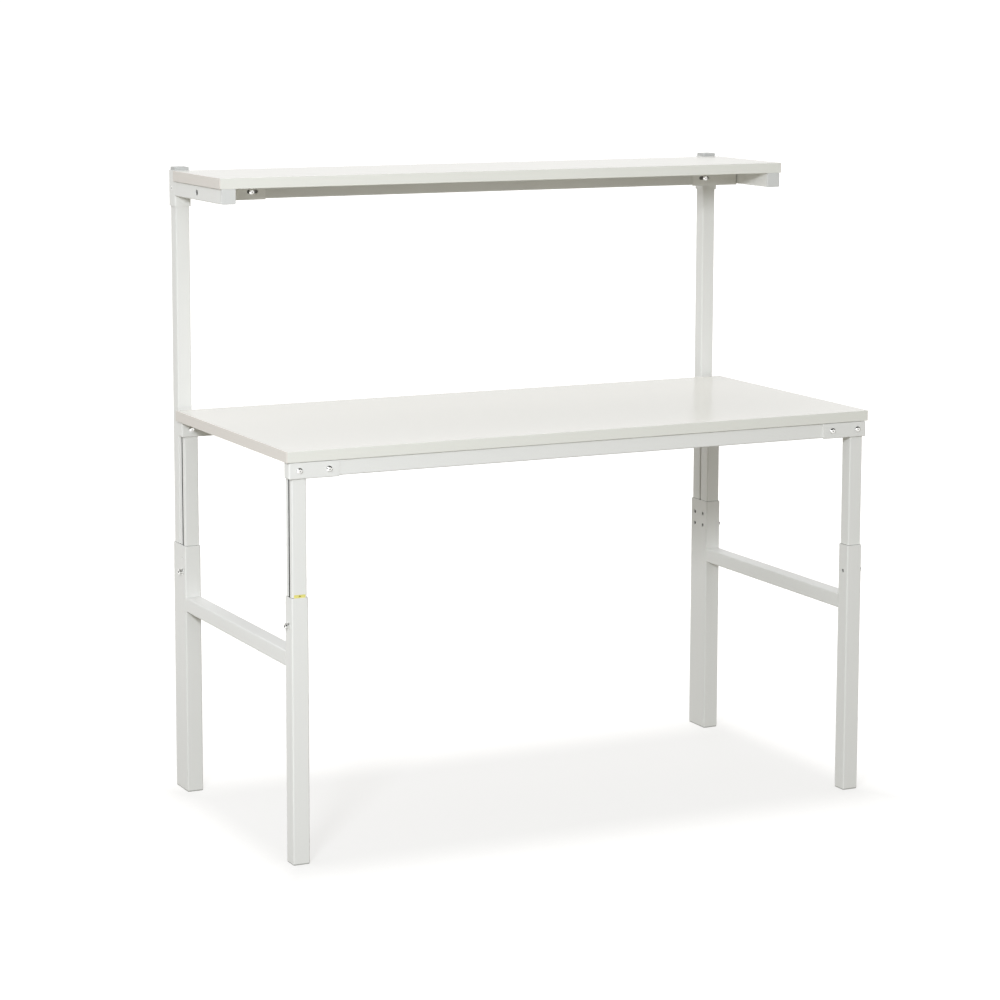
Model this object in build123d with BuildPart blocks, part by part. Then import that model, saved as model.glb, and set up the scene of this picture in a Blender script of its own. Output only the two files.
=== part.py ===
from build123d import *
import os

# Height-adjustable workbench with two upright posts and an upper shelf. Millimetres.
# +X is to the right, +Y to the rear, +Z up. The origin is on the floor, in the middle of the bench's
# overall box. The legs are modelled pulled out to their highest setting.

os.makedirs("parts", exist_ok=True)

# Worktop: chipboard with a thin plastic band glued round its four edges
top_width = 1500.0
top_depth = 700.0
top_thickness = 25.0
top_height = 930.0
band_thickness = 2.0
band_round = 1.0
band_joint = 0.2

# Telescopic legs: a square C-section slides inside a square tube
leg_size = 35.0
leg_wall = 2.0
leg_corner = 3.0
leg_slot = 9.0
leg_overlap = 150.0
slide_gap = 0.5
outer_wall = 2.0
outer_corner = 3.5
outer_top = 604.0
side_inset = 10.0
post_pitch = 40.0

# Side rails that join the front and rear tubes
rail_top = 480.0
rail_height = 35.0
rail_wall = 2.0
rail_corner = 3.5

# Plastic foot caps
foot_flange = 3.0
foot_inset = 0.5
foot_round = 1.4
plug_gap = 0.2
plug_depth = 20.0
plug_wall = 2.5
plug_corner = 1.2

# Beams under the worktop, and the pressed brackets at their ends
beam_depth = 25.0
beam_height = 35.0
beam_wall = 2.0
beam_corner = 2.5
beam_end_gap = 0.5
shelf_beam_end_gap = 2.0
bracket_plate = 3.0
bracket_height = 37.0
bracket_length = 120.0
bracket_proud = 5.0
bracket_bend = 4.5
bracket_edge_round = 2.0
bracket_corner_round = 7.0
bracket_outer_round = 4.0
bracket_top_gap = 0.8
bracket_screw_pitch = 70.0
bracket_screw_drop = 18.0

# Upright posts and their plastic caps
post_top = 1500.0
post_bottom = 300.0
post_cap_height = 8.0
post_cap_round = 2.0
post_bolt_upper = 570.0
post_bolt_lower = 340.0

# Upper shelf
shelf_side_inset = 5.0
shelf_depth = 308.0
shelf_thickness = 25.0
shelf_seat_gap = 0.3
sleeve_wall = 2.5
sleeve_height = 85.0
sleeve_corner = 4.0
arm_size = 35.0
arm_wall = 2.0
arm_corner = 3.0
arm_cap_flange = 3.0
arm_cap_round = 1.2
arm_access_r = 7.0
shelf_beam_setback = 145.0
shelf_bracket_length = 130.0
shelf_slot_length = 28.0
shelf_slot_from_end = 32.5
shelf_screw_from_end = 35.0

# Fasteners: eight millimetre screws, nuts and washers, and wood screws
bolt_r = 4.0
bolt_hole_r = 4.5
thread_gap = 0.1
button_head_r = 7.0
button_head_height = 4.4
button_dome_share = 0.8
button_socket_width = 5.0
button_socket_depth = 2.6
cap_head_r = 6.5
cap_head_height = 8.0
cap_head_round = 0.6
cap_socket_width = 6.0
cap_socket_depth = 4.0
washer_r = 8.0
washer_thickness = 1.6
nut_width = 13.0
nut_thickness = 6.5
clamp_bolt_height = 540.0
clamp_bolt_length = 18.0
clamp_plate_width = 26.0
clamp_plate_height = 30.0
clamp_plate_thickness = 6.0
clamp_seat_gap = 0.3
accessory_rise = 30.0
pin_hole_r = 2.5
pin_hole_rise = 33.0
grub_socket_width = 4.0
wood_screw_r = 2.2
wood_screw_hole_r = 2.7
wood_screw_bite = 16.0
wood_head_r = 4.5
wood_head_height = 2.6
wood_head_dome_share = 0.6
wood_access_r = 6.0
top_screw_end_gap = 102.0
top_screws_per_beam = 4
shelf_beam_screw_end_gap = 500.0
arm_screw_inset = 50.0

# Plastic pieces hidden inside the legs
glide_flange = 4.0
glide_gap = 0.3
glide_depth = 20.0
guide_height = 60.0
guide_drop = 1.0

# Sizes that follow from the ones above
outer_size = leg_size + 2 * (slide_gap + outer_wall)
rear_tube_depth = outer_size + post_pitch
sleeve_size = leg_size + 2 * (slide_gap + sleeve_wall)
leg_pitch = top_depth - bracket_plate - beam_depth
washer_and_head = washer_thickness + button_head_height
overall_depth = (button_head_height + bracket_plate + leg_size / 2 + leg_pitch + post_pitch
                 + outer_size / 2 + washer_and_head)
front_edge_y = button_head_height - overall_depth / 2
top_centre_y = front_edge_y + top_depth / 2
under_top = top_height - top_thickness
leg_x = top_width / 2 - side_inset - outer_size / 2
front_leg_y = front_edge_y + bracket_plate + leg_size / 2
rear_leg_y = front_leg_y + leg_pitch
post_y = rear_leg_y + post_pitch
rear_tube_y = rear_leg_y + post_pitch / 2
rear_tube_back_y = rear_tube_y + rear_tube_depth / 2
leg_bottom = outer_top - leg_overlap
screw_height = under_top - bracket_screw_drop
under_shelf = post_top - shelf_thickness
shelf_width = top_width - 2 * shelf_side_inset
shelf_rear_y = post_y - sleeve_size / 2 - shelf_seat_gap
shelf_front_y = shelf_rear_y - shelf_depth
shelf_centre_y = shelf_rear_y - shelf_depth / 2
shelf_beam_front_y = shelf_front_y + shelf_beam_setback
arm_x = leg_x + sleeve_size / 2 - arm_size / 2
arm_inner_x = arm_x - arm_size / 2
arm_height = under_shelf - arm_size / 2
accessory_height = clamp_bolt_height + accessory_rise / 2

sides = (("left", -1), ("right", 1))
rows = (("front", front_leg_y), ("rear", rear_leg_y))
SEAT = (Align.CENTER, Align.CENTER, Align.MIN)
HANG = (Align.CENTER, Align.CENTER, Align.MAX)


def facing(x, y, z, direction):
    """A plane at a point, whose Z axis is the way that a screw head or a hole's mouth looks."""
    return Plane(origin=(x, y, z), z_dir=direction)


def tube_section(width, depth, wall, corner):
    """The rounded outline of a welded steel tube, less its bore."""
    RectangleRounded(width, depth, corner)
    RectangleRounded(width - 2 * wall, depth - 2 * wall, corner - wall, mode=Mode.SUBTRACT)


# Standard fasteners, drawn once with the head's seat on the XY plane and the shank downwards

with BuildPart() as button_screw:
    Cylinder(button_head_r, button_head_height, align=SEAT)
    fillet(button_screw.edges().group_by(Axis.Z)[-1], button_head_height * button_dome_share)
    with BuildSketch(Plane.XY.offset(button_head_height)):
        RegularPolygon(button_socket_width / 2, 6, major_radius=False)
    extrude(amount=-button_socket_depth, mode=Mode.SUBTRACT)
    Cylinder(bolt_r, bracket_plate + leg_wall + nut_thickness, align=HANG)

with BuildPart() as post_screw:
    add(button_screw.part)
    Cylinder(bolt_r, washer_thickness + outer_wall + slide_gap + leg_wall + nut_thickness, align=HANG)

with BuildPart() as cap_screw_head:
    Cylinder(cap_head_r, cap_head_height, align=SEAT)
    fillet(cap_screw_head.edges().group_by(Axis.Z)[-1], cap_head_round)
    with BuildSketch(Plane.XY.offset(cap_head_height)):
        RegularPolygon(cap_socket_width / 2, 6, major_radius=False)
    extrude(amount=-cap_socket_depth, mode=Mode.SUBTRACT)

with BuildPart() as clamp_bolt:
    add(cap_screw_head.part)
    Cylinder(bolt_r, washer_thickness + clamp_bolt_length, align=HANG)

with BuildPart() as arm_bolt:
    add(cap_screw_head.part)
    Cylinder(bolt_r, arm_wall + washer_thickness + bracket_plate + nut_thickness, align=HANG)

with BuildPart() as washer:
    Cylinder(washer_r, washer_thickness, align=SEAT)
    Cylinder(bolt_r + thread_gap, washer_thickness, align=SEAT, mode=Mode.SUBTRACT)

with BuildPart() as hex_nut:
    with BuildSketch():
        RegularPolygon(nut_width / 2, 6, major_radius=False)
        Circle(bolt_r + thread_gap, mode=Mode.SUBTRACT)
    extrude(amount=-nut_thickness)

with BuildPart() as wood_screw:
    Cylinder(wood_head_r, wood_head_height, align=SEAT)
    fillet(wood_screw.edges().group_by(Axis.Z)[-1], wood_head_height * wood_head_dome_share)
    Cylinder(wood_screw_r, beam_wall + wood_screw_bite - thread_gap, align=HANG)


# Outer tubes, foot caps and side rails: the two welded side frames that stand on the floor

for side, sign in sides:
    outward = (sign, 0, 0)
    inward = (-sign, 0, 0)
    x = sign * leg_x
    outer_face_x = x + sign * outer_size / 2
    inner_face_x = x - sign * outer_size / 2

    with BuildPart() as front_tube:
        with BuildSketch(Plane((x, front_leg_y, foot_flange))):
            tube_section(outer_size, outer_size, outer_wall, outer_corner)
        extrude(amount=outer_top - foot_flange)
        with Locations(facing(outer_face_x, front_leg_y, clamp_bolt_height, outward),
                       facing(inner_face_x, front_leg_y, clamp_bolt_height, inward)):
            Hole(bolt_hole_r, depth=outer_wall)
    front_tube.part.label = f"front_outer_tube_{side}"
    export_step(front_tube.part, f"parts/front_outer_tube_{side}.step")

    with BuildPart() as rear_tube:
        with BuildSketch(Plane((x, rear_tube_y, foot_flange))):
            tube_section(outer_size, rear_tube_depth, outer_wall, outer_corner)
        extrude(amount=outer_top - foot_flange)
        with Locations(facing(outer_face_x, rear_leg_y, clamp_bolt_height, outward)):
            Hole(bolt_hole_r, depth=outer_wall)
        with Locations(facing(outer_face_x, rear_leg_y, clamp_bolt_height + pin_hole_rise, outward)):
            Hole(pin_hole_r, depth=outer_wall)
        with BuildSketch(Plane((inner_face_x, rear_tube_y, accessory_height), x_dir=(0, 1, 0),
                               z_dir=inward)):
            with GridLocations(post_pitch, accessory_rise, 2, 2):
                Circle(bolt_hole_r)
        extrude(amount=-outer_wall, mode=Mode.SUBTRACT)
        with Locations(facing(x, rear_tube_back_y, post_bolt_upper, (0, 1, 0)),
                       facing(x, rear_tube_back_y, post_bolt_lower, (0, 1, 0))):
            Hole(bolt_hole_r, depth=outer_wall)
    rear_tube.part.label = f"rear_outer_tube_{side}"
    export_step(rear_tube.part, f"parts/rear_outer_tube_{side}.step")

    for row, cap_y, cap_depth in (("front", front_leg_y, outer_size),
                                  ("rear", rear_tube_y, rear_tube_depth)):
        with BuildPart() as foot_cap:
            with BuildSketch(Plane((x, cap_y, 0))):
                RectangleRounded(outer_size - 2 * foot_inset, cap_depth - 2 * foot_inset, outer_corner)
            extrude(amount=foot_flange)
            fillet(foot_cap.edges().group_by(Axis.Z)[0], foot_round)
            bore_size = outer_size - 2 * (outer_wall + plug_gap)
            bore_depth = cap_depth - 2 * (outer_wall + plug_gap)
            with BuildSketch(Plane((x, cap_y, foot_flange))):
                RectangleRounded(bore_size, bore_depth, plug_corner)
                Rectangle(bore_size - 2 * plug_wall, bore_depth - 2 * plug_wall, mode=Mode.SUBTRACT)
            extrude(amount=plug_depth)
        foot_cap.part.label = f"foot_cap_{row}_{side}"
        export_step(foot_cap.part, f"parts/foot_cap_{row}_{side}.step")

    rail_front_y = front_leg_y + outer_size / 2
    rail_rear_y = rear_leg_y - outer_size / 2
    with BuildPart() as side_rail:
        with BuildSketch(Plane((x, rail_front_y, rail_top - rail_height / 2), x_dir=(-1, 0, 0),
                               z_dir=(0, 1, 0))):
            tube_section(outer_size, rail_height, rail_wall, rail_corner)
        extrude(amount=rail_rear_y - rail_front_y)
    side_rail.part.label = f"side_rail_{side}"
    export_step(side_rail.part, f"parts/side_rail_{side}.step")


# Upright posts behind the rear legs, in the back half of the rear tubes

for side, sign in sides:
    x = sign * leg_x
    with BuildPart() as post:
        with BuildSketch(Plane((x, post_y, post_bottom))):
            tube_section(leg_size, leg_size, leg_wall, leg_corner)
        extrude(amount=post_top - post_bottom)
        with Locations(facing(x, post_y + leg_size / 2, post_bolt_upper, (0, 1, 0)),
                       facing(x, post_y + leg_size / 2, post_bolt_lower, (0, 1, 0))):
            Hole(bolt_hole_r, depth=leg_wall)
        with BuildSketch(Plane((x - sign * leg_size / 2, post_y, accessory_height), x_dir=(0, 1, 0),
                               z_dir=(-sign, 0, 0))):
            with GridLocations(0, accessory_rise, 1, 2):
                Circle(bolt_hole_r)
        extrude(amount=-leg_wall, mode=Mode.SUBTRACT)
    post.part.label = f"upright_post_{side}"
    export_step(post.part, f"parts/upright_post_{side}.step")

    with BuildPart() as post_cap:
        with BuildSketch(Plane((x, post_y, post_top))):
            RectangleRounded(leg_size, leg_size, leg_corner)
        extrude(amount=post_cap_height)
        fillet(post_cap.edges().group_by(Axis.Z)[-1], post_cap_round)
        bore_size = leg_size - 2 * (leg_wall + plug_gap)
        with BuildSketch(Plane((x, post_y, post_top))):
            RectangleRounded(bore_size, bore_size, plug_corner)
            Rectangle(bore_size - 2 * plug_wall, bore_size - 2 * plug_wall, mode=Mode.SUBTRACT)
        extrude(amount=-plug_depth)
    post_cap.part.label = f"post_cap_{side}"
    export_step(post_cap.part, f"parts/post_cap_{side}.step")

    guide_depth = post_pitch - leg_size - glide_gap
    with BuildPart() as leg_guide:
        with BuildSketch(Plane((x, post_y - leg_size / 2 - guide_depth / 2, outer_top - guide_drop))):
            Rectangle(leg_size, guide_depth)
        extrude(amount=-guide_height)
    leg_guide.part.label = f"leg_guide_{side}"
    export_step(leg_guide.part, f"parts/leg_guide_{side}.step")


# Clamping hardware of the legs, and the screws that hold the posts

clamp_spots = [(sign, y) for side, sign in sides for row, y in rows]
clamp_seat = outer_size / 2 + washer_thickness
clamp_plate_seat = leg_size / 2 - leg_wall - clamp_seat_gap

with BuildPart() as clamp_bolts:
    with Locations(*[facing(sign * (leg_x + clamp_seat), y, clamp_bolt_height, (sign, 0, 0))
                     for sign, y in clamp_spots]):
        add(clamp_bolt.part)
clamp_bolts.part.label = "clamp_bolts"
export_step(clamp_bolts.part, "parts/clamp_bolts.step")

with BuildPart() as clamp_washers:
    with Locations(*[facing(sign * (leg_x + outer_size / 2), y, clamp_bolt_height, (sign, 0, 0))
                     for sign, y in clamp_spots]):
        add(washer.part)
clamp_washers.part.label = "clamp_washers"
export_step(clamp_washers.part, "parts/clamp_washers.step")

with BuildPart() as clamp_plates:
    with Locations(*[facing(sign * (leg_x + clamp_plate_seat), y, clamp_bolt_height, (sign, 0, 0))
                     for sign, y in clamp_spots]):
        Box(clamp_plate_height, clamp_plate_width, clamp_plate_thickness, align=HANG)
        Cylinder(bolt_r + thread_gap, clamp_plate_thickness, align=HANG, mode=Mode.SUBTRACT)
clamp_plates.part.label = "clamp_plates"
export_step(clamp_plates.part, "parts/clamp_plates.step")

post_bolt_spots = [(sign * leg_x, z) for side, sign in sides for z in (post_bolt_upper, post_bolt_lower)]

with BuildPart() as post_bolts:
    with Locations(*[facing(x, rear_tube_back_y + washer_thickness, z, (0, 1, 0))
                     for x, z in post_bolt_spots]):
        add(post_screw.part)
post_bolts.part.label = "post_bolts"
export_step(post_bolts.part, "parts/post_bolts.step")

with BuildPart() as post_washers:
    with Locations(*[facing(x, rear_tube_back_y, z, (0, 1, 0)) for x, z in post_bolt_spots]):
        add(washer.part)
post_washers.part.label = "post_washers"
export_step(post_washers.part, "parts/post_washers.step")

with BuildPart() as post_nuts:
    with Locations(*[facing(x, post_y + leg_size / 2 - leg_wall, z, (0, 1, 0))
                     for x, z in post_bolt_spots]):
        add(hex_nut.part)
post_nuts.part.label = "post_nuts"
export_step(post_nuts.part, "parts/post_nuts.step")


# Inner legs: a C-section, open to the outside of the bench along its whole length

for side, sign in sides:
    x = sign * leg_x
    for row, y in rows:
        with BuildPart() as inner_leg:
            with BuildSketch(Plane((x, y, leg_bottom))):
                tube_section(leg_size, leg_size, leg_wall, leg_corner)
                with Locations((sign * leg_size / 2, 0)):
                    Rectangle(4 * leg_wall, leg_slot, mode=Mode.SUBTRACT)
            extrude(amount=under_top - leg_bottom)
            with Locations(facing(x, y - leg_size / 2, screw_height, (0, -1, 0))):
                Hole(bolt_hole_r, depth=leg_wall)
        inner_leg.part.label = f"inner_leg_{row}_{side}"
        export_step(inner_leg.part, f"parts/inner_leg_{row}_{side}.step")

glide_plug = leg_size - 2 * (leg_wall + plug_gap)
glide_size = leg_size + 2 * (slide_gap - glide_gap)
with BuildPart() as leg_glides:
    with BuildSketch(Plane.XY.offset(leg_bottom)):
        with Locations(*[(sign * leg_x, y) for sign, y in clamp_spots]):
            RectangleRounded(glide_size, glide_size, leg_corner)
    extrude(amount=-glide_flange)
    with BuildSketch(Plane.XY.offset(leg_bottom)):
        with Locations(*[(sign * leg_x, y) for sign, y in clamp_spots]):
            RectangleRounded(glide_plug, glide_plug, plug_corner)
    extrude(amount=glide_depth)
leg_glides.part.label = "leg_glides"
export_step(leg_glides.part, "parts/leg_glides.step")


# Beams under the worktop's front and rear edges

beam_length = 2 * (leg_x - leg_size / 2 - beam_end_gap)
bracket_screw_x = leg_x - bracket_screw_pitch
top_screw_spacing = (beam_length - 2 * top_screw_end_gap) / (top_screws_per_beam - 1)

for row, y in rows:
    beam_front_y = y - leg_size / 2
    with BuildPart() as beam:
        with BuildSketch(Plane((beam_length / 2, beam_front_y + beam_depth / 2,
                                under_top - beam_height / 2), x_dir=(0, 1, 0), z_dir=(1, 0, 0))):
            tube_section(beam_depth, beam_height, beam_wall, beam_corner)
        extrude(amount=-beam_length)
        with Locations(facing(-bracket_screw_x, beam_front_y, screw_height, (0, -1, 0)),
                       facing(bracket_screw_x, beam_front_y, screw_height, (0, -1, 0))):
            Hole(bolt_hole_r, depth=beam_wall)
        with BuildSketch(Plane((0, beam_front_y + beam_depth / 2, under_top))):
            with GridLocations(top_screw_spacing, 0, top_screws_per_beam, 1):
                Circle(wood_screw_hole_r)
        extrude(amount=-beam_wall, mode=Mode.SUBTRACT)
        with BuildSketch(Plane((0, beam_front_y + beam_depth / 2, under_top - beam_height))):
            with GridLocations(top_screw_spacing, 0, top_screws_per_beam, 1):
                Circle(wood_access_r)
        extrude(amount=beam_wall, mode=Mode.SUBTRACT)
    beam.part.label = f"{row}_beam"
    export_step(beam.part, f"parts/{row}_beam.step")


# Pressed corner brackets: a plate in front of the leg and the beam, with a return round the outside

bracket_outer_x = leg_x + outer_size / 2 + bracket_proud
bracket_return = bracket_plate + beam_depth

for side, sign in sides:
    for row, y in rows:
        plate_front_y = y - leg_size / 2 - bracket_plate
        corner_x = sign * bracket_outer_x
        end_x = corner_x - sign * bracket_length
        return_y = plate_front_y + bracket_return
        with BuildPart() as bracket:
            with BuildSketch(Plane.XY.offset(under_top - bracket_height)) as outline:
                with BuildLine():
                    Polyline((end_x, plate_front_y), (corner_x, plate_front_y), (corner_x, return_y),
                             (corner_x - sign * bracket_plate, return_y),
                             (corner_x - sign * bracket_plate, plate_front_y + bracket_plate),
                             (end_x, plate_front_y + bracket_plate), close=True)
                make_face()
                corners = outline.vertices()
                fillet(corners.sort_by_distance((corner_x, plate_front_y, 0))[0], bracket_bend)
                inner_corner = (corner_x - sign * bracket_plate, plate_front_y + bracket_plate, 0)
                fillet(outline.vertices().sort_by_distance(inner_corner)[0],
                       bracket_bend - bracket_plate)
            extrude(amount=bracket_height - bracket_top_gap)
            foot_edges = bracket.edges().filter_by(Axis.X)
            rear_foot = foot_edges.group_by(Axis.Z)[0].group_by(Axis.Y)[-1]
            fillet(rear_foot, bracket_corner_round)
            foot_loop = bracket.edges().group_by(Axis.Z)[0]
            front_foot = foot_loop.filter_by(Axis.X).group_by(Axis.Y)[0]
            bend_foot = foot_loop.filter_by(GeomType.CIRCLE).sort_by(Edge.length)[-1]
            side_foot = foot_loop.filter_by(Axis.Y).sort_by(Axis.X)[-1 if sign > 0 else 0]
            fillet(front_foot + [bend_foot, side_foot], bracket_edge_round)
            for edge_z, inward in ((under_top - bracket_height, 1), (under_top - bracket_top_gap, -1)):
                with BuildSketch(Plane((corner_x, plate_front_y, edge_z),
                                       x_dir=(-sign, 0, 0), z_dir=(0, sign * inward, 0))):
                    Rectangle(bracket_outer_round, bracket_outer_round, align=Align.MIN)
                    with Locations((bracket_outer_round, bracket_outer_round)):
                        Circle(bracket_outer_round, mode=Mode.SUBTRACT)
                extrude(amount=2 * bracket_return, both=True, mode=Mode.SUBTRACT)
            with Locations(facing(sign * leg_x, plate_front_y, screw_height, (0, -1, 0)),
                           facing(sign * bracket_screw_x, plate_front_y, screw_height, (0, -1, 0))):
                Hole(bolt_hole_r, depth=bracket_plate)
        bracket.part.label = f"corner_bracket_{row}_{side}"
        export_step(bracket.part, f"parts/corner_bracket_{row}_{side}.step")

bracket_spots = [(sign * x, y - leg_size / 2) for side, sign in sides for row, y in rows
                 for x in (leg_x, bracket_screw_x)]

with BuildPart() as bracket_screws:
    with Locations(*[facing(x, y - bracket_plate, screw_height, (0, -1, 0)) for x, y in bracket_spots]):
        add(button_screw.part)
bracket_screws.part.label = "bracket_screws"
export_step(bracket_screws.part, "parts/bracket_screws.step")

with BuildPart() as bracket_nuts:
    with Locations(*[facing(x, y + leg_wall, screw_height, (0, -1, 0)) for x, y in bracket_spots]):
        add(hex_nut.part)
bracket_nuts.part.label = "bracket_nuts"
export_step(bracket_nuts.part, "parts/bracket_nuts.step")


# Worktop board, its edge bands and the wood screws that hold it to the beams

top_screw_rows = [y - leg_size / 2 + beam_depth / 2 for row, y in rows]

with BuildPart() as worktop_board:
    with Locations((0, top_centre_y, under_top)):
        Box(top_width - 2 * band_thickness, top_depth - 2 * band_thickness, top_thickness, align=SEAT)
    for y in top_screw_rows:
        with BuildSketch(Plane((0, y, under_top))):
            with GridLocations(top_screw_spacing, 0, top_screws_per_beam, 1):
                Circle(wood_screw_r + thread_gap)
        extrude(amount=wood_screw_bite, mode=Mode.SUBTRACT)
worktop_board.part.label = "worktop_board"
export_step(worktop_board.part, "parts/worktop_board.step")


def long_band(width, depth, thickness, sign):
    """The band on a board's front or rear edge. The board stands on the XY plane."""
    with BuildPart() as band:
        with Locations((0, sign * (depth - band_thickness) / 2, 0)):
            Box(width, band_thickness, thickness, align=SEAT)
        outer_face = band.faces().sort_by(Axis.Y)[0 if sign < 0 else -1]
        fillet(outer_face.edges(), band_round)
    return band.part


def short_band(width, depth, thickness, sign):
    """The band on a board's left or right end, between the two long ones."""
    with BuildPart() as band:
        with Locations((sign * (width - band_thickness) / 2, 0, 0)):
            Box(band_thickness, depth - 2 * (band_thickness + band_joint), thickness, align=SEAT)
        outer_face = band.faces().sort_by(Axis.X)[0 if sign < 0 else -1]
        fillet(outer_face.edges().filter_by(Axis.Y), band_round)
    return band.part


with BuildPart() as worktop_bands:
    with Locations((0, top_centre_y, under_top)):
        for side, sign in sides:
            add(long_band(top_width, top_depth, top_thickness, sign))
            add(short_band(top_width, top_depth, top_thickness, sign))
worktop_bands.part.label = "worktop_edge_bands"
export_step(worktop_bands.part, "parts/worktop_edge_bands.step")

top_screw_columns = [(place - (top_screws_per_beam - 1) / 2) * top_screw_spacing
                     for place in range(top_screws_per_beam)]

with BuildPart() as worktop_screws:
    with Locations(*[facing(x, y, under_top - beam_wall, (0, 0, -1))
                     for y in top_screw_rows for x in top_screw_columns]):
        add(wood_screw.part)
worktop_screws.part.label = "worktop_screws"
export_step(worktop_screws.part, "parts/worktop_screws.step")


# Shelf supports: a sleeve round each post, with an arm that reaches forward under the shelf board

arm_front_y = shelf_front_y + arm_cap_flange
arm_rear_y = post_y - sleeve_size / 2
bracket_bolt_y = shelf_beam_front_y + bracket_plate + beam_depth / 2
arm_screw_ys = (shelf_front_y + arm_screw_inset, shelf_rear_y - arm_screw_inset)

for side, sign in sides:
    outward = (sign, 0, 0)
    with BuildPart() as sleeve:
        with BuildSketch(Plane((sign * leg_x, post_y, post_top))):
            tube_section(sleeve_size, sleeve_size, sleeve_wall, sleeve_corner)
        extrude(amount=-sleeve_height)
        with Locations(facing(sign * (leg_x + sleeve_size / 2), post_y, arm_height, outward)):
            Hole(bolt_r + thread_gap, depth=sleeve_wall)
    sleeve.part.label = f"shelf_sleeve_{side}"
    export_step(sleeve.part, f"parts/shelf_sleeve_{side}.step")

    with BuildPart() as arm:
        with BuildSketch(Plane((sign * arm_x, arm_front_y, arm_height), x_dir=(-1, 0, 0),
                               z_dir=(0, 1, 0))):
            tube_section(arm_size, arm_size, arm_wall, arm_corner)
        extrude(amount=arm_rear_y - arm_front_y)
        with Locations(facing(sign * (arm_x + arm_size / 2), bracket_bolt_y, arm_height, outward)):
            Hole(arm_access_r, depth=arm_wall)
        with Locations(facing(sign * arm_inner_x, bracket_bolt_y, arm_height, (-sign, 0, 0))):
            Hole(bolt_hole_r, depth=arm_wall)
        with Locations(*[facing(sign * arm_x, y, under_shelf, (0, 0, 1)) for y in arm_screw_ys]):
            Hole(wood_screw_hole_r, depth=arm_wall)
        with Locations(*[facing(sign * arm_x, y, under_shelf - arm_size, (0, 0, -1))
                         for y in arm_screw_ys]):
            Hole(wood_access_r, depth=arm_wall)
    arm.part.label = f"shelf_arm_{side}"
    export_step(arm.part, f"parts/shelf_arm_{side}.step")

    with BuildPart() as arm_cap:
        with BuildSketch(Plane((sign * arm_x, arm_front_y, arm_height), x_dir=(1, 0, 0),
                               z_dir=(0, -1, 0))):
            RectangleRounded(arm_size, arm_size, arm_corner)
        extrude(amount=arm_cap_flange)
        fillet(arm_cap.edges().group_by(Axis.Y)[0], arm_cap_round)
        bore_size = arm_size - 2 * (arm_wall + plug_gap)
        with BuildSketch(Plane((sign * arm_x, arm_front_y, arm_height), x_dir=(1, 0, 0),
                               z_dir=(0, -1, 0))):
            RectangleRounded(bore_size, bore_size, plug_corner)
            Rectangle(bore_size - 2 * plug_wall, bore_size - 2 * plug_wall, mode=Mode.SUBTRACT)
        extrude(amount=-plug_depth)
    arm_cap.part.label = f"arm_cap_{side}"
    export_step(arm_cap.part, f"parts/arm_cap_{side}.step")

with BuildPart() as grub_screw:
    Cylinder(bolt_r, sleeve_wall + slide_gap - thread_gap, align=HANG)
    with BuildSketch():
        RegularPolygon(grub_socket_width / 2, 6, major_radius=False)
    extrude(amount=-sleeve_wall, mode=Mode.SUBTRACT)

with BuildPart() as shelf_grub_screws:
    with Locations(*[facing(sign * (leg_x + sleeve_size / 2), post_y, arm_height, (sign, 0, 0))
                     for side, sign in sides]):
        add(grub_screw.part)
shelf_grub_screws.part.label = "shelf_grub_screws"
export_step(shelf_grub_screws.part, "parts/shelf_grub_screws.step")


# Beam under the shelf, with a bracket at each end that is bolted to the arm over a washer

shelf_flange_face_x = arm_inner_x - washer_thickness
shelf_flange_x = shelf_flange_face_x - bracket_plate
shelf_beam_length = 2 * (shelf_flange_x - shelf_beam_end_gap)
shelf_beam_y = shelf_beam_front_y + bracket_plate + beam_depth / 2
shelf_end_x = arm_inner_x - shelf_bracket_length
shelf_screw_x = shelf_end_x + shelf_screw_from_end
shelf_slot_x = shelf_end_x + shelf_slot_from_end
shelf_screw_height = under_shelf - bracket_screw_drop
shelf_beam_screw_x = shelf_beam_length / 2 - shelf_beam_screw_end_gap

with BuildPart() as shelf_beam:
    with BuildSketch(Plane((shelf_beam_length / 2, shelf_beam_y, under_shelf - beam_height / 2),
                           x_dir=(0, 1, 0), z_dir=(1, 0, 0))):
        tube_section(beam_depth, beam_height, beam_wall, beam_corner)
    extrude(amount=-shelf_beam_length)
    with Locations(*[facing(sign * shelf_screw_x, shelf_beam_front_y + bracket_plate,
                            shelf_screw_height, (0, -1, 0)) for side, sign in sides]):
        Hole(bolt_hole_r, depth=beam_wall)
    with Locations(*[facing(sign * shelf_beam_screw_x, shelf_beam_y, under_shelf, (0, 0, 1))
                     for side, sign in sides]):
        Hole(wood_screw_hole_r, depth=beam_wall)
    with Locations(*[facing(sign * shelf_beam_screw_x, shelf_beam_y, under_shelf - beam_height,
                            (0, 0, -1)) for side, sign in sides]):
        Hole(wood_access_r, depth=beam_wall)
shelf_beam.part.label = "shelf_beam"
export_step(shelf_beam.part, "parts/shelf_beam.step")

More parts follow.
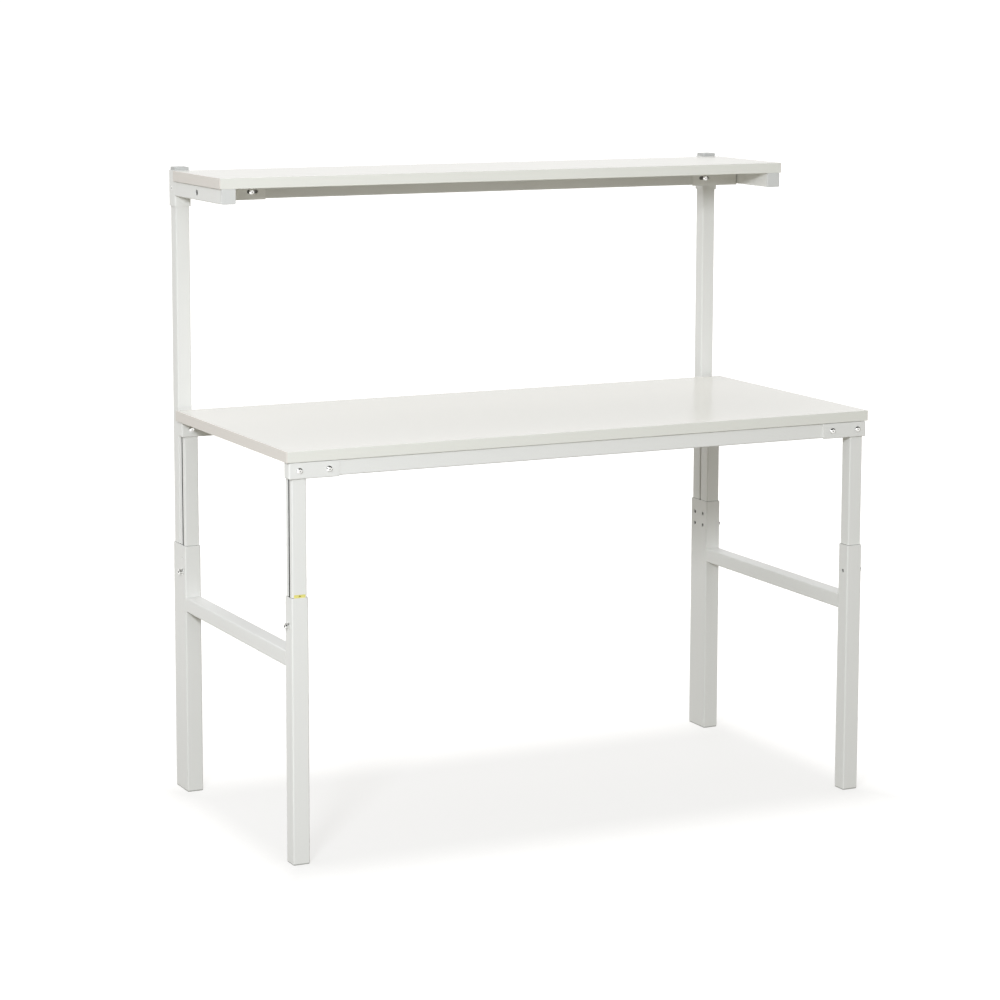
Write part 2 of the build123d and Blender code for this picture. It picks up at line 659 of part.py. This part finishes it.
for side, sign in sides:
    flange_face_x = sign * shelf_flange_face_x
    return_y = shelf_beam_front_y + bracket_return
    with BuildPart() as shelf_bracket:
        with BuildSketch(Plane.XY.offset(under_shelf - bracket_height)) as outline:
            with BuildLine():
                Polyline((sign * shelf_end_x, shelf_beam_front_y), (flange_face_x, shelf_beam_front_y),
                         (flange_face_x, return_y), (flange_face_x - sign * bracket_plate, return_y),
                         (flange_face_x - sign * bracket_plate, shelf_beam_front_y + bracket_plate),
                         (sign * shelf_end_x, shelf_beam_front_y + bracket_plate), close=True)
            make_face()
            fillet(outline.vertices().sort_by_distance((flange_face_x, shelf_beam_front_y, 0))[0],
                   bracket_bend)
            inner_corner = (flange_face_x - sign * bracket_plate, shelf_beam_front_y + bracket_plate, 0)
            fillet(outline.vertices().sort_by_distance(inner_corner)[0], bracket_bend - bracket_plate)
        extrude(amount=bracket_height)
        with BuildSketch(Plane((sign * shelf_slot_x, shelf_beam_front_y, shelf_screw_height),
                               x_dir=(1, 0, 0), z_dir=(0, -1, 0))):
            SlotOverall(shelf_slot_length, 2 * bolt_hole_r)
        extrude(amount=-bracket_plate, mode=Mode.SUBTRACT)
        with Locations(facing(flange_face_x, bracket_bolt_y, arm_height, (sign, 0, 0))):
            Hole(bolt_hole_r, depth=bracket_plate)
    shelf_bracket.part.label = f"shelf_bracket_{side}"
    export_step(shelf_bracket.part, f"parts/shelf_bracket_{side}.step")

with BuildPart() as shelf_bracket_screws:
    with Locations(*[facing(sign * shelf_screw_x, shelf_beam_front_y, shelf_screw_height, (0, -1, 0))
                     for side, sign in sides]):
        add(button_screw.part)
shelf_bracket_screws.part.label = "shelf_bracket_screws"
export_step(shelf_bracket_screws.part, "parts/shelf_bracket_screws.step")

with BuildPart() as shelf_arm_bolts:
    with Locations(*[facing(sign * (arm_inner_x + arm_wall), bracket_bolt_y, arm_height, (sign, 0, 0))
                     for side, sign in sides]):
        add(arm_bolt.part)
shelf_arm_bolts.part.label = "shelf_arm_bolts"
export_step(shelf_arm_bolts.part, "parts/shelf_arm_bolts.step")

with BuildPart() as shelf_washers:
    with Locations(*[facing(sign * shelf_flange_face_x, bracket_bolt_y, arm_height, (sign, 0, 0))
                     for side, sign in sides]):
        add(washer.part)
shelf_washers.part.label = "shelf_washers"
export_step(shelf_washers.part, "parts/shelf_washers.step")

with BuildPart() as shelf_nuts:
    with Locations(*[facing(sign * shelf_flange_x, bracket_bolt_y, arm_height, (sign, 0, 0))
                     for side, sign in sides]):
        add(hex_nut.part)
    with Locations(*[facing(sign * shelf_screw_x, shelf_beam_front_y + bracket_plate + beam_wall,
                            shelf_screw_height, (0, -1, 0)) for side, sign in sides]):
        add(hex_nut.part)
shelf_nuts.part.label = "shelf_nuts"
export_step(shelf_nuts.part, "parts/shelf_nuts.step")


# Shelf board, its edge bands and its wood screws

shelf_screw_spots = ([(sign * arm_x, y) for side, sign in sides for y in arm_screw_ys]
                     + [(sign * shelf_beam_screw_x, shelf_beam_y) for side, sign in sides])

with BuildPart() as shelf_board:
    with Locations((0, shelf_centre_y, under_shelf)):
        Box(shelf_width - 2 * band_thickness, shelf_depth - 2 * band_thickness, shelf_thickness,
            align=SEAT)
    with BuildSketch(Plane((0, 0, under_shelf))):
        with Locations(*shelf_screw_spots):
            Circle(wood_screw_r + thread_gap)
    extrude(amount=wood_screw_bite, mode=Mode.SUBTRACT)
shelf_board.part.label = "shelf_board"
export_step(shelf_board.part, "parts/shelf_board.step")

with BuildPart() as shelf_bands:
    with Locations((0, shelf_centre_y, under_shelf)):
        for side, sign in sides:
            add(long_band(shelf_width, shelf_depth, shelf_thickness, sign))
            add(short_band(shelf_width, shelf_depth, shelf_thickness, sign))
shelf_bands.part.label = "shelf_edge_bands"
export_step(shelf_bands.part, "parts/shelf_edge_bands.step")

with BuildPart() as shelf_screws:
    with Locations(*[facing(x, y, under_shelf - arm_wall, (0, 0, -1)) for x, y in shelf_screw_spots]):
        add(wood_screw.part)
shelf_screws.part.label = "shelf_screws"
export_step(shelf_screws.part, "parts/shelf_screws.step")
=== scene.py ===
import math

import bmesh
import bpy
from mathutils import Matrix, Vector


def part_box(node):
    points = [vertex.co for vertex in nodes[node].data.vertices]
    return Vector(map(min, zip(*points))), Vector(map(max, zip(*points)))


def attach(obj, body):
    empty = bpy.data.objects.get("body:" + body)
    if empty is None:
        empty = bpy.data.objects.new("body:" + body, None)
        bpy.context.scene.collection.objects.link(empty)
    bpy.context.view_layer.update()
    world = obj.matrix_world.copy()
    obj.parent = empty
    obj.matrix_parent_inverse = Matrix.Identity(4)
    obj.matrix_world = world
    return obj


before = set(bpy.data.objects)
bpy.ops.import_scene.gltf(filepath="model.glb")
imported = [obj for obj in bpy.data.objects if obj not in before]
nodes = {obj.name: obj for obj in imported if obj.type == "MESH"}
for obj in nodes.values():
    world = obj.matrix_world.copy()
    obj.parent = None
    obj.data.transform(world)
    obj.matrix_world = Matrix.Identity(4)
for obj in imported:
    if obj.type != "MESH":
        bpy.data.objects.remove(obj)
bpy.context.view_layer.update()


# Studio floor: a sheet of matt white acrylic, flat under the bench and out to the horizon.
# It glows, and glows less in a soft-edged box the size of the bench: a painted shadow under the bench.
# Farther out it glows up to the white of the room.

def srgb(hex_colour):
    """An sRGB hex colour as the linear RGBA that shaders take."""
    shares = [int(hex_colour[i:i + 2], 16) / 255 for i in (1, 3, 5)]
    return [c / 12.92 if c <= 0.04045 else ((c + 0.055) / 1.055) ** 2.4 for c in shares] + [1.0]


def add_node(owner, kind, settings=None, inputs=None):
    """Adds a node. Each input takes a plain value, or another node's output to link."""
    tree = owner.node_tree
    made = tree.nodes.new(kind)
    for name, value in (settings or {}).items():
        setattr(made, name, value)
    for name, value in (inputs or {}).items():
        if isinstance(value, bpy.types.NodeSocket):
            tree.links.new(value, made.inputs[name])
        else:
            made.inputs[name].default_value = value
    return made


def new_material(name, **values):
    """A new material, and its Principled shader with sockets set by name."""
    material = bpy.data.materials.new(name)
    material.use_nodes = True
    shader = material.node_tree.nodes["Principled BSDF"]
    for socket, value in values.items():
        shader.inputs[socket.replace("_", " ")].default_value = value
    return material, shader


def finished_piece(shape, name, material, body=None):
    """Turns a bmesh into a piece at the origin, with its material, that rides on a body."""
    mesh = bpy.data.meshes.new(name)
    shape.to_mesh(mesh)
    shape.free()
    mesh.materials.append(material)
    piece = bpy.data.objects.new(name, mesh)
    bpy.context.scene.collection.objects.link(piece)
    if body:
        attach(piece, body)
    return piece


floor_shadow_middle_y = -0.07
floor_shadow_x = 0.775
floor_shadow_y = 0.40
floor_shadow_blur_x = 0.07
floor_shadow_blur_y = 0.13
floor_reach = 60
glow_in_shadow = 0.68
glow_round_shadow = 0.84
far_glow_start = 0.9
far_glow_end = 2.5
far_glow_gain = 0.3

acrylic, acrylic_shader = new_material("matt_white_acrylic_painted_shadow", Base_Color=srgb("#818181"), Roughness=0.95,
                                       Emission_Color=srgb("#fffefc"))
floor_place = add_node(acrylic, "ShaderNodeTexCoord")
floor_from = add_node(acrylic, "ShaderNodeMapping", {}, {
    "Vector": floor_place.outputs["Object"], "Location": (0, -floor_shadow_middle_y, 0)})
floor_split = add_node(acrylic, "ShaderNodeSeparateXYZ", {}, {"Vector": floor_from.outputs["Vector"]})
# Painted shadow: inside a soft-edged box the bench's size the glow drops to glow_in_shadow.
glow_edges = []
for axis, reach, blur in (("X", floor_shadow_x, floor_shadow_blur_x),
                          ("Y", floor_shadow_y, floor_shadow_blur_y)):
    from_middle = add_node(acrylic, "ShaderNodeMath", {"operation": "ABSOLUTE"}, {
        0: floor_split.outputs[axis]})
    glow_edges.append(add_node(acrylic, "ShaderNodeMapRange", {"interpolation_type": "SMOOTHSTEP"}, {
        "Value": from_middle.outputs["Value"], "From Min": reach - blur, "From Max": reach + blur}))
glow_share = add_node(acrylic, "ShaderNodeMath", {"operation": "MAXIMUM"}, {
    0: glow_edges[0].outputs["Result"], 1: glow_edges[1].outputs["Result"]})
near_glow = add_node(acrylic, "ShaderNodeMapRange", {}, {
    "Value": glow_share.outputs["Value"], "To Min": glow_in_shadow,
    "To Max": glow_round_shadow})
floor_way = add_node(acrylic, "ShaderNodeVectorMath", {"operation": "LENGTH"}, {
    0: floor_from.outputs["Vector"]})
far_glow = add_node(acrylic, "ShaderNodeMapRange", {"interpolation_type": "SMOOTHSTEP"}, {
    "Value": floor_way.outputs["Value"], "From Min": far_glow_start, "From Max": far_glow_end,
    "To Max": far_glow_gain})
glow = add_node(acrylic, "ShaderNodeMath", {"operation": "ADD"}, {
    0: near_glow.outputs["Result"], 1: far_glow.outputs["Result"]})
acrylic.node_tree.links.new(glow.outputs["Value"], acrylic_shader.inputs["Emission Strength"])
floor_shape = bmesh.new()
bmesh.ops.create_grid(floor_shape, x_segments=1, y_segments=1, size=floor_reach)
floor = finished_piece(floor_shape, "floor", acrylic)
floor.visible_diffuse = False


# Camera: a long lens at a standing eye's height, off the bench's front left corner.
# The small shift keeps the legs nearly parallel.

camera_place = Vector((-3.147, -6.280, 1.941))
camera_heading = 26.272
camera_dip = 8.018
camera_roll = -0.163
camera_sensor = 36
focal_share = 2.961
camera_shift = -0.10
camera_sight = 200

camera = bpy.data.objects.new("camera", bpy.data.cameras.new("camera"))
bpy.context.scene.collection.objects.link(camera)
camera.data.sensor_width = camera_sensor
camera.data.lens = camera_sensor * focal_share
camera.data.shift_y = camera_shift
camera.data.clip_end = camera_sight
camera.location = camera_place
turn = (Matrix.Rotation(math.radians(-camera_heading), 4, "Z")
        @ Matrix.Rotation(math.radians(90 - camera_dip), 4, "X")
        @ Matrix.Rotation(math.radians(-camera_roll), 4, "Z"))
camera.rotation_euler = turn.to_euler()
bpy.context.scene.camera = camera


# Studio light: a soft box low at the front left, a weak one high behind, a large card low at the left
# that shows only in reflections, and a white room. The room lights more from above than from below,
# and only its rear half is bright in reflections.

bench_middle = Vector((0, 0, 0.8))


def soft_box(name, heading, height_angle, distance, size, watts, hex_colour):
    """A square area light round the middle of the bench, turned to it. Heading 0 is in front."""
    way = (Matrix.Rotation(math.radians(-heading), 3, "Z")
           @ Matrix.Rotation(math.radians(-height_angle), 3, "X") @ Vector((0, -1, 0)))
    data = bpy.data.lights.new(name, "AREA")
    data.size = size
    data.energy = watts
    data.color = srgb(hex_colour)[:3]
    lamp = bpy.data.objects.new(name, data)
    bpy.context.scene.collection.objects.link(lamp)
    lamp.location = bench_middle + way * distance
    lamp.rotation_euler = (-way).to_track_quat("-Z", "Y").to_euler()
    lamp.visible_camera = False


soft_box("key_box", heading=40, height_angle=20.5, distance=5.1, size=0.7, watts=132,
         hex_colour="#f6faff")

card_middle = Vector((-2.8, -1.9, 0.02))
card_size = 3.6
card_watts = 50

card_light = bpy.data.lights.new("low_card", "AREA")
card_light.size = card_size
card_light.energy = card_watts
low_card = bpy.data.objects.new("low_card", card_light)
bpy.context.scene.collection.objects.link(low_card)
low_card.location = card_middle
low_card.rotation_euler = (math.pi, 0, 0)
low_card.visible_camera = False
low_card.visible_diffuse = False

soft_box("back_box", heading=-160, height_angle=55, distance=4.3, size=2.0, watts=30,
         hex_colour="#ffffff")

room_blend = 0.15
light_from_below = 0.13
light_from_above = 0.8
mirrored_in_front = 0.05
mirrored_behind = 0.88
backdrop_light = 1.05

# Where a colour mix has its two colours and its output, since their names are used more than once
mix_colour_a = 6
mix_colour_b = 7
mix_colour_out = 2

room = bpy.data.worlds.new("white_room")
room.use_nodes = True
room_place = add_node(room, "ShaderNodeTexCoord")
room_way = add_node(room, "ShaderNodeSeparateXYZ", {}, {"Vector": room_place.outputs["Generated"]})
light_height = add_node(room, "ShaderNodeMapRange", {}, {
    "Value": room_way.outputs["Z"], "From Min": -room_blend, "From Max": room_blend})
diffuse_light = add_node(room, "ShaderNodeMapRange", {}, {
    "Value": light_height.outputs["Result"], "To Min": light_from_below,
    "To Max": light_from_above})
mirrored_light = add_node(room, "ShaderNodeMapRange", {}, {
    "Value": room_way.outputs["Y"], "From Min": -room_blend, "From Max": room_blend,
    "To Min": mirrored_in_front, "To Max": mirrored_behind})
ray = add_node(room, "ShaderNodeLightPath")
object_light = add_node(room, "ShaderNodeMix", {"data_type": "FLOAT"}, {
    "Factor": ray.outputs["Is Diffuse Ray"], "A": mirrored_light.outputs["Result"],
    "B": diffuse_light.outputs["Result"]})
room_light = add_node(room, "ShaderNodeMix", {"data_type": "FLOAT"}, {
    "Factor": ray.outputs["Is Camera Ray"], "A": object_light.outputs["Result"],
    "B": backdrop_light})
warm_share = add_node(room, "ShaderNodeMapRange", {}, {
    "Value": light_height.outputs["Result"], "To Min": 1.0, "To Max": 0.0})
below_share = add_node(room, "ShaderNodeMath", {"operation": "MULTIPLY"}, {
    0: warm_share.outputs["Result"], 1: ray.outputs["Is Diffuse Ray"]})
room_colour = add_node(room, "ShaderNodeMix", {"data_type": "RGBA"}, {
    "Factor": below_share.outputs["Value"], mix_colour_a: srgb("#ffffff"),
    mix_colour_b: srgb("#fff6cc")})
backdrop = room.node_tree.nodes["Background"]
room.node_tree.links.new(room_light.outputs["Result"], backdrop.inputs["Strength"])
room.node_tree.links.new(room_colour.outputs[mix_colour_out], backdrop.inputs["Color"])
bpy.context.scene.world = room
bpy.context.scene.view_settings.view_transform = "Standard"


# Side frames: square steel tube, cut, welded and powder-coated pale grey. They stand on the floor.
# The coat is baked on, so it gives the eye a soft satin sheen with a faint orange peel.

coat_hex = "#ebebe8"
coat_roughness = 0.3
orange_peel = {"wave_mm": 2.2, "depth_mm": 0.05, "strength": 0.25}


def dress(material, *names):
    """Gives CAD nodes their finish."""
    for name in names:
        slots = nodes[name].data.materials
        slots.clear()
        slots.append(material)


def grain_bump(material, shader, wave_mm, depth_mm, strength):
    """A fine random relief: the distance between its bumps, their depth and how strongly they show.

    Gives the node that holds the place on the piece.
    """
    spot = add_node(material, "ShaderNodeTexCoord")
    grain = add_node(material, "ShaderNodeTexNoise", {}, {
        "Vector": spot.outputs["Object"], "Scale": 1000 / wave_mm, "Detail": 2.0})
    bump = add_node(material, "ShaderNodeBump", {}, {
        "Height": grain.outputs["Fac"], "Strength": strength, "Distance": depth_mm / 1000})
    material.node_tree.links.new(bump.outputs["Normal"], shader.inputs["Normal"])
    return spot


powder_coat, powder_shader = new_material("polyester_powder_coat", Base_Color=srgb(coat_hex),
                                          Roughness=coat_roughness, IOR=1.5)
grain_bump(powder_coat, powder_shader, **orange_peel)
for side in ("left", "right"):
    dress(powder_coat, f"front_outer_tube_{side}", f"rear_outer_tube_{side}", f"side_rail_{side}")


# Foot caps: polypropylene, injection-moulded grey, pushed into the lower ends of the tubes.
# A fine moulded grain leaves them matt. The guides and glides inside the tubes are of the same.

foot_plastic, foot_shader = new_material("moulded_polypropylene", Base_Color=srgb("#bdbeba"),
                                         Roughness=0.6, IOR=1.49)
grain_bump(foot_plastic, foot_shader, wave_mm=0.6, depth_mm=0.03, strength=0.4)
for side in ("left", "right"):
    dress(foot_plastic, f"foot_cap_front_{side}", f"foot_cap_rear_{side}", f"leg_guide_{side}")
dress(foot_plastic, "leg_glides")


# Inner legs: rolled C-sections, which slide in the outer tubes, powder-coated. Inside the section, below
# the tube's top and in a thin band just above it, they are painted a dull dark grey: painted shade.
# A yellow vinyl mark is stuck on the front left one, just above its tube: the highest setting.

# Painted shade: dull dark grey inside the C-sections, below the tubes' tops and in a thin band above
# them.
painted_shade_hex = "#6e6d6a"
painted_shade_roughness = 0.45
painted_shade_inner_face = 0.0162
painted_shade_rise = 0.0007
leg_low, leg_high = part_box("inner_leg_front_left")
rear_leg_low, rear_leg_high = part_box("inner_leg_rear_left")
tube_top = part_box("front_outer_tube_left")[1][2]
painted_shade_top = tube_top + painted_shade_rise
leg_centre_x = (leg_low[0] + leg_high[0]) / 2
row_centre_y = (leg_low[1] + rear_leg_high[1]) / 2
row_half_pitch = (rear_leg_low[1] - leg_low[1]) / 2

leg_coat, leg_shader = new_material("powder_coat_painted_shade_legs", IOR=1.5)
leg_place = grain_bump(leg_coat, leg_shader, **orange_peel)
leg_split = add_node(leg_coat, "ShaderNodeSeparateXYZ", {}, {"Vector": leg_place.outputs["Object"]})


def distance_from(output, middle):
    """How far a coordinate lies from a middle, as a node's output."""
    shifted = add_node(leg_coat, "ShaderNodeMath", {"operation": "SUBTRACT"}, {0: output, 1: middle})
    return add_node(leg_coat, "ShaderNodeMath", {"operation": "ABSOLUTE"}, {
        0: shifted.outputs["Value"]}).outputs["Value"]


side_x = distance_from(leg_split.outputs["X"], 0)
from_leg_x = distance_from(side_x, -leg_centre_x)
from_row_y = distance_from(leg_split.outputs["Y"], row_centre_y)
from_leg_y = distance_from(from_row_y, row_half_pitch)
from_axis = add_node(leg_coat, "ShaderNodeMath", {"operation": "MAXIMUM"}, {
    0: from_leg_x, 1: from_leg_y})
inside = add_node(leg_coat, "ShaderNodeMath", {"operation": "LESS_THAN"}, {
    0: from_axis.outputs["Value"], 1: painted_shade_inner_face})
below = add_node(leg_coat, "ShaderNodeMath", {"operation": "LESS_THAN"}, {
    0: leg_split.outputs["Z"], 1: painted_shade_top})
# Where either holds, the coat's colour gives way to the painted shade.
painted_shade_mask = add_node(leg_coat, "ShaderNodeMath", {"operation": "MAXIMUM"}, {
    0: inside.outputs["Value"], 1: below.outputs["Value"]})
leg_colour = add_node(leg_coat, "ShaderNodeMix", {"data_type": "RGBA"}, {
    "Factor": painted_shade_mask.outputs["Value"], mix_colour_a: srgb(coat_hex), mix_colour_b: srgb(painted_shade_hex)})
leg_coat.node_tree.links.new(leg_colour.outputs[mix_colour_out], leg_shader.inputs["Base Color"])
leg_roughness = add_node(leg_coat, "ShaderNodeMapRange", {}, {
    "Value": painted_shade_mask.outputs["Value"], "To Min": coat_roughness, "To Max": painted_shade_roughness})
leg_coat.node_tree.links.new(leg_roughness.outputs["Result"], leg_shader.inputs["Roughness"])
for side in ("left", "right"):
    dress(leg_coat, f"inner_leg_front_{side}", f"inner_leg_rear_{side}")

mark_width = 0.027
mark_height = 0.0075
mark_round = 0.001
mark_thickness = 0.00015
mark_rise = -0.0005
arrow_width = 0.0069282
arrow_height = 0.0045
ink_thickness = 0.00005
unit_triangle_width = math.sqrt(3)
unit_triangle_height = 1.5
mark_middle = Vector((leg_centre_x, leg_low[1] - mark_thickness / 2,
                      tube_top + mark_rise + mark_height / 2))

yellow_vinyl, vinyl_shader = new_material("glossy_yellow_vinyl", Base_Color=srgb("#e3da7c"),
                                          Roughness=0.3, IOR=1.5)
grain_bump(yellow_vinyl, vinyl_shader, wave_mm=3.0, depth_mm=0.02, strength=0.3)
mark_shape = bmesh.new()
bmesh.ops.create_cube(mark_shape, size=1)
bmesh.ops.scale(mark_shape, vec=(mark_width, mark_thickness, mark_height), verts=mark_shape.verts)
corners = [edge for edge in mark_shape.edges if edge.verts[0].co.y != edge.verts[1].co.y]
bmesh.ops.bevel(mark_shape, geom=corners, offset=mark_round, offset_type="OFFSET", affect="EDGES",
                segments=4, profile=0.5, material=-1)
bmesh.ops.translate(mark_shape, vec=mark_middle, verts=mark_shape.verts)
finished_piece(mark_shape, "highest_setting_mark", yellow_vinyl, "table")

dark_ink, ink_shader = new_material("printed_dark_ink", Base_Color=srgb("#9a8f3a"), Roughness=0.5)
grain_bump(dark_ink, ink_shader, wave_mm=1.0, depth_mm=0.005, strength=0.2)
arrow_shape = bmesh.new()
bmesh.ops.create_cone(arrow_shape, cap_ends=True, segments=3, radius1=1, radius2=1, depth=1,
                      matrix=Matrix.Rotation(math.radians(90), 4, "X"))
bmesh.ops.scale(arrow_shape, verts=arrow_shape.verts,
                vec=(arrow_width / unit_triangle_width, ink_thickness,
                     arrow_height / unit_triangle_height))
bmesh.ops.translate(arrow_shape, vec=mark_middle - Vector((0, (mark_thickness + ink_thickness) / 2, 0)),
                    verts=arrow_shape.verts)
finished_piece(arrow_shape, "highest_setting_arrow", dark_ink, "table")


# Uprights: square steel tube, bolted into the back half of the rear tubes. They wear the legs' coat,
# with
# its painted shade: dull dark grey below the tubes' tops. The caps on top are moulded of grey
# polyethylene, smoother and a little waxy.

waxy_grain = {"wave_mm": 1.0, "depth_mm": 0.02, "strength": 0.3}

cap_plastic, cap_shader = new_material("moulded_polyethylene", Base_Color=srgb("#bcbdbb"),
                                       Roughness=0.45, IOR=1.51)
grain_bump(cap_plastic, cap_shader, **waxy_grain)
for side in ("left", "right"):
    dress(leg_coat, f"upright_post_{side}")
    dress(cap_plastic, f"post_cap_{side}")


# Fasteners: cold-headed steel screws, washers and nuts, bright zinc-plated in a barrel.
# The plating is smooth and bright, so it mirrors the room in dark and bright patches.

zinc, zinc_shader = new_material("bright_zinc_plate", Base_Color=srgb("#dddddb"), Metallic=1.0,
                                 Roughness=0.16)
grain_bump(zinc, zinc_shader, wave_mm=0.8, depth_mm=0.01, strength=0.08)
dress(zinc, "clamp_bolts", "clamp_washers", "clamp_plates", "post_bolts", "post_washers", "post_nuts",
      "bracket_screws", "bracket_nuts", "worktop_screws", "shelf_grub_screws", "shelf_bracket_screws",
      "shelf_arm_bolts", "shelf_washers", "shelf_nuts", "shelf_screws")


# Table beams and corner brackets: powder-coated tube, and pressed plate bent round the top's corners.
# Two button-head screws hold each bracket to its leg and its beam.

dress(powder_coat, "front_beam", "rear_beam")
for row in ("front", "rear"):
    for side in ("left", "right"):
        dress(powder_coat, f"corner_bracket_{row}_{side}")


# Worktop: chipboard faced on both sides with pale grey melamine, pressed against a fine pearl plate,
# and screwed to the beams from below. The shelf's board is the same. Seen at a low angle both give
# soft, long reflections.

laminate, laminate_shader = new_material("pressed_melamine_laminate", Base_Color=srgb("#ebe9e2"),
                                         Roughness=0.2, IOR=1.5)
grain_bump(laminate, laminate_shader, wave_mm=1.2, depth_mm=0.01, strength=0.3)
dress(laminate, "worktop_board", "shelf_board")


# Edge bands: extruded ABS strip, glued round the boards and scraped round at its edges. It looks
# duller than the laminate. The strip on the short ends is a shade warmer.

band_thickness = 0.002
band_blend = 0.0001


def edge_strip(name, node):
    """Strip for one board: cool on the long bands, warmer on the short ones at its two ends."""
    material, shader = new_material(name, Roughness=0.42, IOR=1.53)
    place = grain_bump(material, shader, wave_mm=0.8, depth_mm=0.02, strength=0.3)
    inner_face_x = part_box(node)[1][0] - band_thickness
    split = add_node(material, "ShaderNodeSeparateXYZ", {}, {"Vector": place.outputs["Object"]})
    from_middle = add_node(material, "ShaderNodeMath", {"operation": "ABSOLUTE"}, {
        0: split.outputs["X"]})
    end = add_node(material, "ShaderNodeMapRange", {}, {
        "Value": from_middle.outputs["Value"], "From Min": inner_face_x - band_blend,
        "From Max": inner_face_x})
    colour = add_node(material, "ShaderNodeMix", {"data_type": "RGBA"}, {
        "Factor": end.outputs["Result"], mix_colour_a: srgb("#e8e8e1"), mix_colour_b: srgb("#e3ddd6")})
    material.node_tree.links.new(colour.outputs[mix_colour_out], shader.inputs["Base Color"])
    return material


dress(edge_strip("worktop_abs_strip", "worktop_edge_bands"), "worktop_edge_bands")
dress(edge_strip("shelf_abs_strip", "shelf_edge_bands"), "shelf_edge_bands")


# Shelf supports: sleeves round the uprights, arms under the shelf and a beam between them, all of
# powder-coated tube and plate. Light grey polyethylene caps close the arms.
# The beam's coat is painted a shade darker: painted shade under the shelf. Under the slotted brackets
# it is painted dull dark grey: painted shade in the slots.

# Painted shade: the beam a shade darker overall, and dull dark grey where its brackets cover it.
shaded_beam_coat_hex = "#dfdfdc"
slot_shade_inset = 0.001
beam_face_depth = 0.0005
beam_front_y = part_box("shelf_beam")[0][1]
bracket_inner_x = -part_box("shelf_bracket_left")[1][0]

for side in ("left", "right"):
    dress(powder_coat, f"shelf_sleeve_{side}", f"shelf_arm_{side}", f"shelf_bracket_{side}")
beam_coat, beam_shader = new_material("powder_coat_painted_shade_beam", Roughness=coat_roughness, IOR=1.5)
beam_place = grain_bump(beam_coat, beam_shader, **orange_peel)
beam_split = add_node(beam_coat, "ShaderNodeSeparateXYZ", {}, {"Vector": beam_place.outputs["Object"]})
beam_x = add_node(beam_coat, "ShaderNodeMath", {"operation": "ABSOLUTE"}, {0: beam_split.outputs["X"]})
beam_end = add_node(beam_coat, "ShaderNodeMath", {"operation": "GREATER_THAN"}, {
    0: beam_x.outputs["Value"], 1: bracket_inner_x + slot_shade_inset})
beam_face = add_node(beam_coat, "ShaderNodeMath", {"operation": "LESS_THAN"}, {
    0: beam_split.outputs["Y"], 1: beam_front_y + beam_face_depth})
# Painted shade in the slots: the beam's front face under the brackets.
slot_shade_mask = add_node(beam_coat, "ShaderNodeMath", {"operation": "MULTIPLY"}, {
    0: beam_end.outputs["Value"], 1: beam_face.outputs["Value"]})
beam_colour = add_node(beam_coat, "ShaderNodeMix", {"data_type": "RGBA"}, {
    "Factor": slot_shade_mask.outputs["Value"], mix_colour_a: srgb(shaded_beam_coat_hex),
    mix_colour_b: srgb(painted_shade_hex)})
beam_coat.node_tree.links.new(beam_colour.outputs[mix_colour_out], beam_shader.inputs["Base Color"])
dress(beam_coat, "shelf_beam")

arm_plastic, arm_shader = new_material("moulded_polyethylene_light", Base_Color=srgb("#d7d8d6"),
                                       Roughness=0.45, IOR=1.51)
grain_bump(arm_plastic, arm_shader, **waxy_grain)
dress(arm_plastic, "arm_cap_left", "arm_cap_right")
